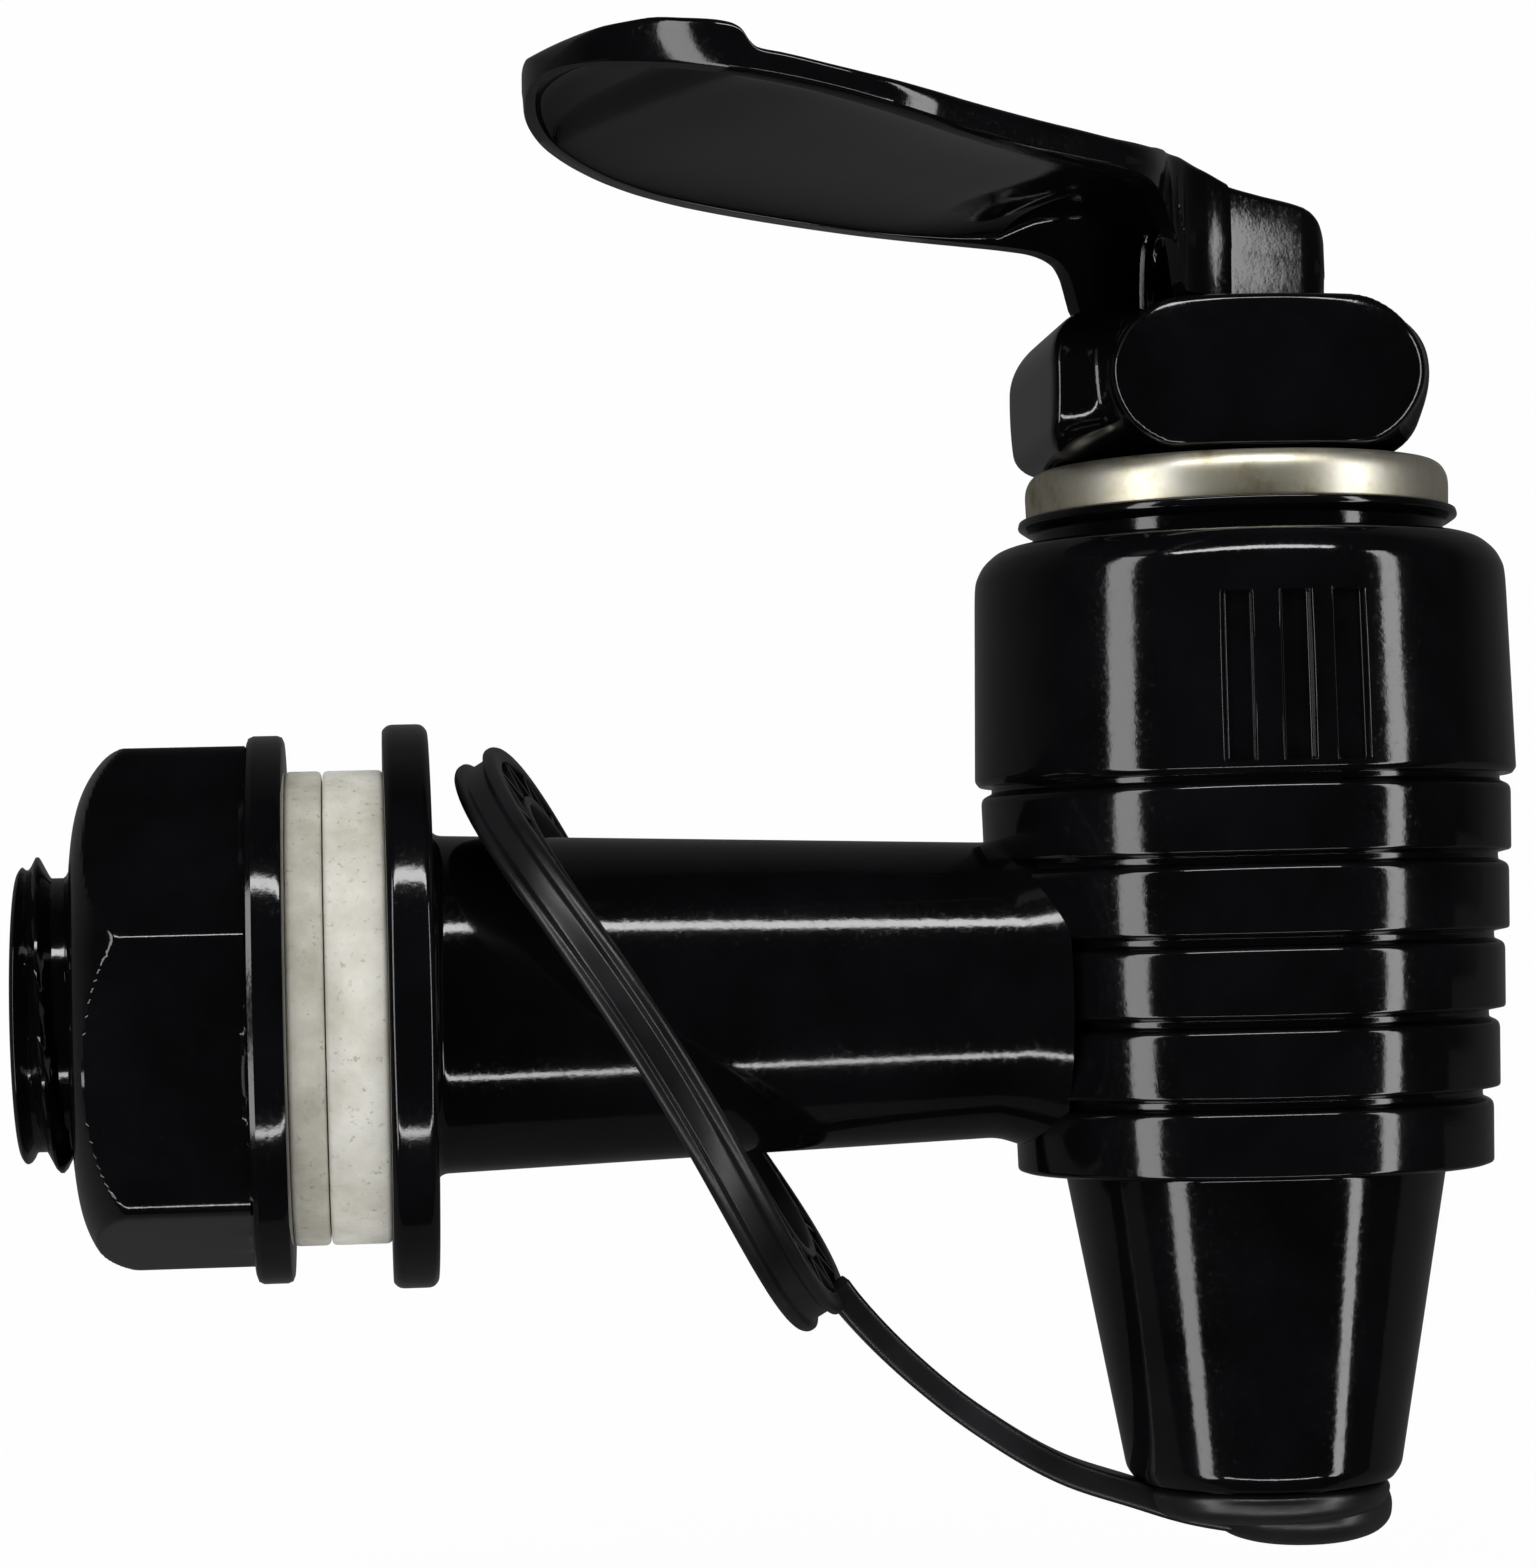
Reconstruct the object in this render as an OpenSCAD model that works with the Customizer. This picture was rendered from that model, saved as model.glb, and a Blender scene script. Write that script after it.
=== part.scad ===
// Water purifier tap: a lever tap on a threaded shank that is fastened through a tank wall.
// Origin: centre of the flange face that seals on the wall. X runs along the shank to the barrel, Z is up.

/* [Shank and wall fixing] */
// Distance from the sealing face to the barrel axis
reach = 44.7; // [40:0.1:60]
// Outside diameter of the flange that bears on the wall
flange_d = 28.7; // [26:0.1:34]
// Thickness of the flange
flange_t = 2.3; // [1.6:0.1:4]
// Diameter of the shank at the flange
shank_d1 = 17.3; // [16.6:0.1:19]
// Diameter of the shank at the barrel
shank_d2 = 14.8; // [14:0.1:17]
// Diameter over the thread crests
thread_d = 16; // [14:0.5:18]
// Thread pitch, the travel of the nut in one turn
thread_pitch = 2; // [1:0.25:3]
// Depth of the thread groove
thread_depth = 1.1; // [0.5:0.1:1.4]
// Length of the threaded end
thread_len = 18.5; // [17.4:0.1:30]
// Diameter of the water way in the shank
inlet_d = 10; // [6:0.2:10.4]

/* [Nut and washers] */
// Hexagon of the nut over the flats
nut_af = 24; // [22:0.5:26]
// Angle of the nut's hexagon round the shank
nut_turn = 15.6; // [0:0.2:59]
// Length of the nut with its flange
nut_len = 10.65; // [8:0.05:11.5]
// Diameter of the nut's flange
nut_flange_d = 27.8; // [27:0.1:32]
// Thickness of the nut's flange
nut_flange_t = 1.9; // [1.2:0.1:3]
// Outside diameter of the washers
washer_d = 24.1; // [21:0.1:26]
// Thickness of the washer on the flange
outer_t = 3.05; // [1.5:0.05:3.5]
// Thickness of the washer under the nut
inner_t = 1.85; // [1:0.05:2.4]

/* [Barrel] */
// Diameter of the collar at its lower edge
collar_d = 28; // [27:0.1:32]
// Wall of the collar round the bonnet's socket
collar_wall = 3.3; // [2.8:0.1:3.4]
// Height of the collar's lower edge above the shank axis
collar_z = 10.5; // [9.5:0.1:13]
// Height of the barrel's top edge above the shank axis
barrel_top = 22.9; // [22:0.1:26]
// Loss of diameter from the collar to the lowest ring
ring_taper = 2.7; // [1.4:0.1:3.6]
// Depth of the grooves between the rings
ring_groove = 0.55; // [0.2:0.05:0.9]
// Height of one ring
ring_h = 4.05; // [3.6:0.05:4.2]
// Diameter of the spout where it leaves the barrel
spout_d1 = 19.5; // [17:0.1:21]
// Diameter of the spout at its mouth
spout_d2 = 14.1; // [13.2:0.1:16]
// Height of the spout's mouth below the shank axis
spout_low = 25.6; // [22:0.1:34]
// Diameter of the water way in the spout
outlet_d = 10.6; // [8:0.2:10.8]

/* [Bonnet] */
// Width of each grip lobe
lobe_w = 15.8; // [12:0.1:16.5]
// Height of each grip lobe
lobe_h = 7.8; // [6:0.1:10]
// Distance of the front and back lobe faces from the axis
lobe_out = 9.5; // [8.8:0.1:10.6]
// Distance of the lobe under the lever arm from the axis
lobe_arm = 10.7; // [9:0.1:12]
// Distance of the lobe under the lever heel from the axis
lobe_heel = 8.1; // [7.8:0.1:10]
// Outside diameter of the metal trim ring
trim_d = 22; // [21:0.1:24]
// Height of the metal trim ring
trim_h = 2.4; // [1.8:0.1:3.2]

/* [Lever and valve] */
// Length of the lever from the stem axis to its tip
lever_len = 39.5; // [34:0.1:48]
// Width of the lever's paddle
paddle_w = 26.8; // [20:0.2:30]
// Width of the lever's foot
foot_w = 9.4; // [9.2:0.1:11]
// Slope of the paddle's underside towards the tip
paddle_slope = 11.6; // [8:0.1:15]
// Slope of the underside near the neck
root_slope = 6; // [2:0.5:9]
// Distance from the stem at which the underside bends up
arm_bend = 22.5; // [16:0.5:26]
// Radius of the heel's corners seen from above
heel_round = 2.2; // [0.5:0.1:2.6]
// Swivel of the lever away from the shank direction
lever_turn = 24; // [0:1:45]
// Diameter of the valve stem in its guide
stem_d = 5.6; // [5:0.1:6]
// Diameter of the cross pin at the stem's head
cross_d = 2.5; // [2:0.1:2.7]
// Diameter of the silicone valve plug
plug_d = 12.4; // [11:0.2:14]
// Mean diameter of the return spring
spring_d = 10; // [9:0.1:10.4]
// Diameter of the spring wire
wire_d = 0.9; // [0.6:0.05:1.1]
// Number of spring coils
coils = 7; // [5:1:9]

/* [Dust cap] */
// Outside diameter of the tether ring
loop_d = 34; // [32:0.2:36]
// Inside diameter of the tether ring
loop_hole = 26.8; // [25:0.1:28]
// Width of the tether ring along its axis
loop_w = 2.4; // [1.6:0.1:3]
// Tilt of the tether ring from square to the shank
loop_tilt = 31; // [25:0.1:33]
// Turn of the tether ring about its long direction
loop_turn = 9; // [0:0.5:10]
// Where the tether ring hangs along the shank
loop_x = 12.3; // [12:0.1:18]
// Width of the strap
strap_w = 3.6; // [2:0.1:5]
// Thickness of the strap
strap_t = 1.4; // [0.8:0.1:2]
// Bend of the strap from end to end
strap_bend = 30; // [28:1:40]

/* [Display] */
// Piece to draw

/* [Hidden] */
$fn = 96;
black = [0.03, 0.03, 0.035];
milky = [0.82, 0.81, 0.78];
satin = [0.72, 0.70, 0.62];
steel = [0.62, 0.63, 0.65];
// Running clearance on a radius, and the free gap between pieces that only pass each other
run = 0.05;
gap = 0.3;
thread_r = thread_d / 2;
washer_stack = outer_t + inner_t + 0.05;
nut_end = -washer_stack - nut_len;
ring_top_d = collar_d - 0.6;
ring_low_d = ring_top_d - ring_taper;
ring_bottom = collar_z - 5 * ring_h + 0.85;
// Radii of the valve chamber, the bonnet's socket and the seat hole
socket_r = collar_d / 2 - collar_wall;
chamber_r = socket_r - 1.7;
seat_r = 4.4;
chamber_low = -4.6;
ledge_z = 11.2;
gasket_t = 1;
plug_z = chamber_low + 1.1;
flange_z = barrel_top + 0.7;
trim_z = flange_z + 0.75;
knob_z = trim_z + trim_h + 0.15;
deck_z = knob_z + lobe_h;
hub_r = trim_d / 2 - 1.2;
ceiling_z = 22;
spring_low = plug_z + 8;
spring_r = spring_d / 2;
stem_r = stem_d / 2;
neck_r = stem_r - 1;
pin_z = deck_z + 2.2;
foot_z = deck_z + gap;
foot_front = 6.5;
foot_back = 3.4;
heel_front = 3.4;
arm_z0 = deck_z + 1.1;
neck_end = 8;
socket_depth = 0.6;
tip_r = 11.4;
cheek = 1.2;
shank_top = shank_d1 / 2 - (shank_d1 - shank_d2) / 2 * 3.6 / (reach - 2);
loop_off = loop_hole / 2 - shank_top / cos(loop_tilt) - loop_w / 2 * tan(loop_tilt) - 0.42;
loop_cx = loop_x + loop_off * sin(loop_tilt);
loop_cz = -loop_off * cos(loop_tilt);
strap_x0 = loop_cx + (loop_d / 2 - 1.2) * sin(loop_tilt);
strap_z0 = loop_cz - (loop_d / 2 - 1.2) * cos(loop_tilt);
strap_x1 = reach - 4.7;
strap_z1 = -spout_low - 1.15;
strap_dx = strap_x1 - strap_x0;
strap_dz = strap_z1 - strap_z0;
strap_run = norm([strap_dx, strap_dz]);
strap_ang = atan2(strap_dz, strap_dx);
strap_r = strap_run / 2 / sin(strap_bend / 2);
strap_head = strap_ang - strap_bend / 2;

// A turned shape along X from points of distance along X and radius.
module turned_x(points) {
    rotate([0, 90, 0])
        rotate_extrude()
            polygon([for (p = points) [p[1], p[0]]]);
}

// A turned shape about the barrel axis from points of radius and height.
module turned_z(points) {
    translate([reach, 0, 0])
        rotate_extrude()
            polygon(points);
}

// A flat outline with round ends, wide along the first direction.
module stadium(w, h) {
    square([w - h, h], center = true);
    translate([(w - h) / 2, 0])
        circle(d = h);
    translate([-(w - h) / 2, 0])
        circle(d = h);
}

function ring_r(i) = (ring_top_d - (ring_top_d - ring_low_d) * pow(i / 4, 1.35)) / 2;

// Outline of the five rings from the collar down: each ring with a small chamfer towards its grooves.
function ring_points() = [for (i = [0:4]) let (t = collar_z - i * ring_h)
    each [
        [ring_r(i) - ring_groove, t],
        [ring_r(i) - ring_groove, t - 0.35],
        [ring_r(i), t - 0.6],
        [ring_r(i) - 0.08, t - ring_h + 0.2]
    ]];

thread_turns = floor((thread_len - 2.6) / thread_pitch);

// Ring-shaped grooves that stand for the screw thread.
function thread_points() = [for (i = [0:thread_turns - 1]) let (x = -thread_len + 0.95 + i * thread_pitch)
    each [
        [x, thread_r], [x + thread_pitch * 0.28, thread_r - thread_depth],
        [x + thread_pitch * 0.42, thread_r - thread_depth], [x + thread_pitch * 0.7, thread_r]
    ]];

// The moulded body: threaded end, flange, tapered shank, barrel with collar and rings, and the spout.
module spigot_body() {
    color(black)
        difference() {
            union() {
                turned_x(concat([[-thread_len, 0], [-thread_len, thread_r - 0.7], [-thread_len + 0.45, thread_r]],
                    thread_points(), [[0.4, thread_r], [0.4, 0]]));
                turned_x([[0, 0], [0, flange_d / 2 - 0.35], [0.35, flange_d / 2],
                    [flange_t - 0.35, flange_d / 2], [flange_t, flange_d / 2 - 0.35], [flange_t, 0]]);
                turned_x([[flange_t - 0.2, 0], [flange_t - 0.2, shank_d1 / 2], [reach - 6, shank_d2 / 2],
                    [reach - 6, 0]]);
                turned_z(concat([[0, barrel_top], [socket_r + 1.2, barrel_top], [collar_d / 2 - 1.55, barrel_top - 0.2],
                    [collar_d / 2 - 0.75, barrel_top - 0.8], [collar_d / 2 - 0.35, barrel_top - 1.5],
                    [collar_d / 2 - 0.25, barrel_top - 2.1], [collar_d / 2, collar_z + 0.3],
                    [collar_d / 2 - 0.25, collar_z]], ring_points(),
                    [[ring_low_d / 2 - 0.6, ring_bottom - 0.45], [spout_d1 / 2, ring_bottom - 0.5],
                    [spout_d2 / 2 + 0.05, -spout_low + 0.7], [spout_d2 / 2 - 0.5, -spout_low],
                    [0, -spout_low]]));
            }
            translate([-thread_len - 1, 0, 0])
                rotate([0, 90, 0])
                    cylinder(r = inlet_d / 2, h = thread_len + 1 + reach - 6.5);
            translate([reach, 0, chamber_low])
                cylinder(r = chamber_r, h = ledge_z - chamber_low);
            translate([reach, 0, ledge_z - 0.01])
                cylinder(r = socket_r, h = 30);
            translate([reach, 0, -spout_low - 1])
                cylinder(r = outlet_d / 2, h = spout_low - 7.6);
            translate([reach, 0, -12])
                cylinder(r = seat_r, h = 12);
            grip_slots();
        }
    color(black)
        difference() {
            seat_lip();
            translate([reach, 0, -12])
                cylinder(r = seat_r, h = 14);
        }
}

// The raised lip that the valve plug closes on.
module seat_lip() {
    turned_z([[seat_r - 0.5, chamber_low - 0.5], [seat_r + 1.6, chamber_low - 0.5],
        [seat_r + 0.9, plug_z], [seat_r - 0.5, plug_z]]);
}

// Three upright slots on the front of the collar.
module grip_slots() {
    for (a = [-1, 0, 1])
        translate([reach, 0, 0])
            rotate([0, 0, a * 12.2])
                translate([-0.72, -collar_d / 2 - 1, collar_z + 0.4])
                    cube([1.44, 1.4, 8.5]);
}

// The flanged hexagon nut on the inner side of the wall.
module tank_nut() {
    color(black)
        difference() {
            intersection() {
                union() {
                    translate([nut_end, 0, 0])
                        rotate([-nut_turn, 0, 0])
                            rotate([0, 90, 0])
                                rotate([0, 0, 30])
                                    cylinder(r = nut_af / 2 / cos(30), h = nut_len - 0.1, $fn = 6);
                    turned_x([[-washer_stack - nut_flange_t, 0], [-washer_stack - nut_flange_t, nut_flange_d / 2 - 0.3],
                        [-washer_stack - nut_flange_t + 0.3, nut_flange_d / 2], [-washer_stack - 0.3, nut_flange_d / 2],
                        [-washer_stack, nut_flange_d / 2 - 0.3], [-washer_stack, 0]]);
                }
                turned_x([[nut_end, 0], [nut_end, nut_af / 2 - 3.2], [nut_end + 0.2, nut_af / 2 - 1.8],
                    [nut_end + 0.6, nut_af / 2 - 0.7], [nut_end + 1.3, nut_af / 2 + 0.65],
                    [nut_end + 2.2, nut_af / 2 + 1.5], [nut_end + 4, 18], [0, 18], [0, 0]]);
            }
            translate([nut_end - 1, 0, 0])
                rotate([0, 90, 0])
                    cylinder(r = thread_r + run, h = nut_len + 3);
            turned_x([[nut_end - 0.01, 0], [nut_end - 0.01, thread_r + 0.5], [nut_end + 0.45, thread_r + run],
                [nut_end + 0.45, 0]]);
        }
}

// A flat silicone washer whose face towards the flange is at the given place along the shank.
module washer(x, t) {
    color(milky)
        translate([x - t, 0, 0])
            rotate([0, 90, 0])
                difference() {
                    cylinder(r = washer_d / 2, h = t);
                    translate([0, 0, -1])
                        cylinder(r = thread_r + 0.1, h = t + 2);
                }
}

module outer_washer() {
    washer(0, outer_t);
}

module inner_washer() {
    washer(-outer_t - 0.05, inner_t);
}

// The tether ring with a groove round its rim and three-cornered pockets in one face.
module tether_loop() {
    translate([loop_cx, 0, loop_cz])
        rotate([0, 90 - loop_tilt, 0])
            rotate([loop_turn, 0, 0])
                difference() {
                    rotate_extrude()
                        polygon([
                            [loop_hole / 2, -loop_w / 2], [loop_d / 2 - 0.2, -loop_w / 2], [loop_d / 2, -loop_w / 2 + 0.2],
                            [loop_d / 2, -loop_w / 2 + 0.5], [loop_d / 2 - 0.4, -loop_w / 2 + 0.7],
                            [loop_d / 2 - 0.4, loop_w / 2 - 0.7], [loop_d / 2, loop_w / 2 - 0.5],
                            [loop_d / 2, loop_w / 2 - 0.2], [loop_d / 2 - 0.2, loop_w / 2], [loop_hole / 2, loop_w / 2]]);
                    for (i = [0:17])
                        rotate([0, 0, i * 20 + 10])
                            loop_pocket(i % 2);
                }
}

module loop_pocket(flip) {
    r1 = loop_hole / 2 + 0.5;
    r2 = loop_d / 2 - 1.0;
    half = (r1 + r2) / 2 * sin(7.4);
    translate([0, 0, loop_w / 2 - 0.9])
        linear_extrude(2)
            polygon([[flip == 1 ? r1 : r2, -half], [flip == 1 ? r1 : r2, half], [flip == 1 ? r2 : r1, 0]]);
}

// The soft dust cap: tether ring, strap and the plug that closes the spout, in one moulding.
module dust_cap() {
    color(black) {
        tether_loop();
        translate([strap_x0 - strap_r * sin(strap_head), 0, strap_z0 + strap_r * cos(strap_head)])
            rotate([90, 0, 0])
                rotate([0, 0, strap_head - 90])
                    rotate_extrude(angle = strap_bend)
                        translate([strap_r, 0])
                            square([strap_t, strap_w], center = true);
        turned_z([[0, -spout_low + 4], [outlet_d / 2 - 0.9, -spout_low + 4], [outlet_d / 2 - 0.1, -spout_low + 3],
            [outlet_d / 2 - 0.1, -spout_low - 0.25], [spout_d2 / 2 - 0.9, -spout_low - 0.05],
            [spout_d2 / 2 - 0.6, -spout_low - 0.4], [spout_d2 / 2 - 0.8, -spout_low - 1.3],
            [spout_d2 / 2 - 1.8, -spout_low - 1.8], [0, -spout_low - 1.9]]);
        translate([1.9, 0, 0])
            turned_z([[0, -spout_low - 0.6], [4.5, -spout_low - 0.6], [4.7, -spout_low - 1.2], [4.6, -spout_low - 2.2],
                [3.9, -spout_low - 2.9], [2.6, -spout_low - 3.3], [0, -spout_low - 3.4]]);
    }
}

// The side outline of a grip bar between its two ends, with its upper and lower corner radii.
module bar_outline(a, b, top, low) {
    translate([-a, low])
        square([a + b, lobe_h - low - top]);
    translate([-a + low, 0])
        square([a + b - 2 * low, lobe_h / 2]);
    translate([-a + top, lobe_h / 2])
        square([a + b - 2 * top, lobe_h / 2]);
    for (x = [-a + low, b - low])
        translate([x, low])
            circle(r = low);
    for (x = [-a + top, b - top])
        translate([x, lobe_h - top])
            circle(r = top);
}

// A bar with round long sides and round corners at its ends, two grip lobes in one.
module grip_bar(a, b, top, low) {
    intersection() {
        translate([-a - 1, 0, lobe_h / 2])
            rotate([90, 0, 90])
                linear_extrude(a + b + 2)
                    stadium(lobe_w, lobe_h);
        translate([0, lobe_w, 0])
            rotate([90, 0, 0])
                linear_extrude(2 * lobe_w)
                    bar_outline(a, b, top, low);
    }
}

// The screw-in bonnet: grip lobes, hub, thin flange, skirt and stem guide.
module bonnet() {
    color(black)
        difference() {
            union() {
                translate([reach, 0, knob_z]) {
                    grip_bar(lobe_arm, lobe_heel, 3, 1.5);
                    rotate([0, 0, 90])
                        grip_bar(lobe_out, lobe_out, 1.2, 0.8);
                }
                turned_z([[0, knob_z + 2], [hub_r - 0.9, knob_z + 2], [hub_r - 0.9, knob_z + 0.9], [hub_r, knob_z + 0.1],
                    [hub_r, trim_z], [trim_d / 2 + 0.3, trim_z], [trim_d / 2 + 0.4, trim_z - 0.35],
                    [trim_d / 2 - 0.1, flange_z], [socket_r - run, flange_z], [socket_r - run, ledge_z + gasket_t + 0.4],
                    [socket_r - 0.5, ledge_z + gasket_t], [0, ledge_z + gasket_t]]);
            }
            translate([reach, 0, 0])
                cylinder(r = chamber_r - 0.6, h = ceiling_z);
            cylinder_guide();
        }
}

module cylinder_guide() {
    translate([reach, 0, ceiling_z - 1])
        cylinder(r = stem_d / 2 + run, h = 20);
}

// The gasket under the bonnet's skirt.
module bonnet_gasket() {
    color(milky)
        translate([reach, 0, ledge_z])
            difference() {
                cylinder(r = socket_r - 0.1, h = gasket_t);
                translate([0, 0, -1])
                    cylinder(r = chamber_r + 0.1, h = gasket_t + 2);
            }
}

// The metal trim ring round the bonnet's hub.
module trim_ring() {
    color(satin)
        turned_z([[hub_r + run, trim_z], [trim_d / 2 - 0.1, trim_z], [trim_d / 2, trim_z + 0.1],
            [trim_d / 2, trim_z + trim_h - 0.9], [trim_d / 2 - 0.1, trim_z + trim_h - 0.5],
            [trim_d / 2 - 0.4, trim_z + trim_h - 0.15], [trim_d / 2 - 0.7, trim_z + trim_h],
            [hub_r + run, trim_z + trim_h]]);
}

// Half width of the lever seen from above, drawn in by a rim, at a distance from the stem.
function lever_half(s, rim) = let (n = lever_len - tip_r, w = paddle_w / 2, f = foot_w / 2)
    s < heel_round - foot_back ? f - heel_round
        + sqrt(max(0, pow(heel_round, 2) - pow(heel_round - foot_back - s, 2))) - rim
    : s < neck_end ? f - rim
    : s <= n ? f + (w - f) * sin(90 * sqrt((s - neck_end) / (n - neck_end))) - rim
    : (w - rim) * sqrt(max(0, 1 - pow((s - n) / (tip_r - rim), 2)));

function lever_stations(rim) = concat([for (a = [0:18:90]) heel_round * (1 - cos(a)) - foot_back], [neck_end],
    [for (i = [1:14]) neck_end + pow(i / 14, 1.5) * (lever_len - tip_r - neck_end)],
    [for (a = [8:8:88]) lever_len - tip_r + (tip_r - rim) * sin(a)]);

// The lever's outline from above, drawn in by the given rim width.
module lever_outline(rim) {
    st = lever_stations(rim);
    n = len(st);
    polygon(concat([for (i = [0:n - 1]) [st[i], lever_half(st[i], rim)]],
        [for (i = [n - 1:-1:0]) [st[i], -lever_half(st[i], rim)]]));
}

// Height of the lever's underside, with its bend.
function arm_low(s) = s >= arm_bend ? arm_z0 + s * tan(paddle_slope)
    : arm_z0 + arm_bend * tan(paddle_slope) - (arm_bend - s) * tan(root_slope);

// The lever seen from the side, as points of distance from the stem and height.
module lever_side() {
    tip = lever_len;
    rotate([90, 0, 0])
        translate([0, 0, -30])
            linear_extrude(60)
                polygon([
                    [-foot_back + 0.5, foot_z], [foot_front, foot_z], [foot_front + 0.2, foot_z + 1.5],
                    [foot_front + 0.6, foot_z + 2.3], [foot_front + 1.5, foot_z + 3], [foot_front + 2.8, foot_z + 3.6],
                    [foot_front + 4.4, arm_low(foot_front + 4.4)], [arm_bend, arm_low(arm_bend)],
                    [tip - 1, arm_low(tip - 1)], [tip + 0.1, arm_low(tip) + 0.2], [tip + 0.1, arm_low(tip) + 1.7],
                    [tip - 1.3, arm_low(tip) + 2.5], [tip - 4.6, arm_low(tip - 4.6) + 2.4],
                    [tip - 5.2, arm_low(tip - 5.2) + 1.4], [tip - 8.6, arm_low(tip - 8.6) + 1.2],
                    [tip - 12, arm_low(tip - 12) + 1.15], [24.7, arm_low(24.7) + 1.25], [20, arm_low(20) + 1.6],
                    [15.2, arm_low(15.2) + 1.9], [11.6, arm_low(11.6) + 2.2], [7.6, arm_low(7.6) + 2.5],
                    [5.9, foot_z + 6.2], [4.9, foot_z + 5.8], [4, foot_z + 5.4], [2.2, foot_z + 5.1],
                    [0, foot_z + 4.9], [-1.4, foot_z + 4.5], [-2.4, foot_z + 3.9], [-foot_back, foot_z + 2.6],
                    [-foot_back, foot_z + 1.5]]);
}

// The lever: paddle with a dished underside, neck and hollow foot with blind sockets for the cross pin.
module lever_shape() {
    difference() {
        union() {
            intersection() {
                lever_side();
                translate([0, 0, foot_z - 1])
                    linear_extrude(40)
                        lever_outline(0);
            }
            intersection() {
                translate([0, 0, 0.7])
                    lever_side();
                translate([13, -20, foot_z])
                    cube([lever_len - 19, 40, 40]);
                translate([0, 0, foot_z - 1])
                    linear_extrude(40)
                        lever_outline(2.2);
            }
        }
        // Dish in the underside of the paddle
        intersection() {
            rotate([90, 0, 0])
                translate([0, 0, -30])
                    linear_extrude(60)
                        polygon([[neck_end - 0.5, foot_z], [60, foot_z], [60, arm_low(60) + 0.6],
                            [arm_bend, arm_low(arm_bend) + 0.6], [neck_end - 0.5, arm_low(neck_end) + 0.6]]);
            translate([0, 0, foot_z - 1])
                linear_extrude(40)
                    lever_outline(1.3);
        }
        // Hollow of the foot and neck, open below and towards the arm
        translate([-foot_back + 0.9, -foot_w / 2 + cheek, foot_z - 1])
            cube([foot_back + 2.1, foot_w - 2 * cheek, 5.0]);
        translate([2.9, -foot_w / 2 + cheek, foot_z - 1])
            cube([foot_front - 1.6, foot_w - 2 * cheek, 5.9]);
        // Flats that set the heel in from the neck
        for (side = [-1, 1])
            translate([(heel_front - foot_back - 1) / 2, side * (foot_w / 2 + 0.2), foot_z + 4])
                cube([heel_front + foot_back + 1, 0.9, 12], center = true);
        translate([0, 0, pin_z])
            rotate([90, 0, 0])
                cylinder(r = cross_d / 2 + run, h = foot_w - 2 * cheek + 2 * socket_depth, center = true);
    }
}

module lever_handle() {
    color(black)
        translate([reach, 0, 0])
            rotate([0, 0, 180 + lever_turn])
                lever_shape();
}

// The valve stem: foot in the plug, spring collar, guide and the cross pin that carries the lever.
module valve_stem() {
    color(black) {
        turned_z([[0, plug_z + 1.2], [stem_r - 0.8, plug_z + 1.2], [stem_r, plug_z + 2], [stem_r, plug_z + 3],
            [neck_r, plug_z + 3.6], [neck_r, plug_z + 4.6], [stem_r + 0.2, plug_z + 4.6],
            [spring_r + wire_d / 2 + 0.95, plug_z + 6.6], [spring_r + wire_d / 2 + 0.95, spring_low],
            [stem_r, spring_low],
            [stem_r, knob_z - 0.2], [stem_r - 0.85, knob_z - 0.1], [stem_r - 0.85, knob_z + 1.2],
            [stem_r, knob_z + 1.3], [stem_r, pin_z - 2.8], [stem_r / 2, pin_z - 2.2], [stem_r / 2, pin_z + 0.9],
            [0.9, pin_z + 1.4], [0, pin_z + 1.4]]);
        translate([reach, 0, pin_z])
            rotate([0, 0, 180 + lever_turn])
                rotate([90, 0, 0])
                    cylinder(r = cross_d / 2, h = foot_w - 2 * cheek + 2 * socket_depth - 0.3, center = true);
    }
}

// The sealing ring in the stem's groove.
module stem_seal() {
    color(black)
        translate([reach, 0, knob_z + 0.55])
            rotate_extrude()
                translate([stem_d / 2 - 0.42, 0])
                    circle(r = 0.4, $fn = 24);
}

// A coil of round wire about the barrel axis.
module return_spring() {
    side = 10;
    steps = 24 * coils;
    low = spring_low + wire_d / 2;
    rise = ceiling_z - spring_low - wire_d;
    function spot(i, j) = let (a = 360 * i / 24, b = 360 * j / side,
        u = min(1, max(0, (i - 18) / (steps - 36))))
        [(spring_r + wire_d / 2 * cos(b)) * cos(a), (spring_r + wire_d / 2 * cos(b)) * sin(a),
            low + rise * u + wire_d / 2 * sin(b)];
    color(steel)
        translate([reach, 0, 0])
            polyhedron(
                points = [for (i = [0:steps]) for (j = [0:side - 1]) spot(i, j)],
                faces = concat(
                    [[for (j = [0:side - 1]) j]],
                    [[for (j = [side - 1:-1:0]) steps * side + j]],
                    [for (i = [0:steps - 1]) for (j = [0:side - 1])
                        [i * side + j, (i + 1) * side + j, (i + 1) * side + (j + 1) % side]],
                    [for (i = [0:steps - 1]) for (j = [0:side - 1])
                        [i * side + j, (i + 1) * side + (j + 1) % side, i * side + (j + 1) % side]]));
}

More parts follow.
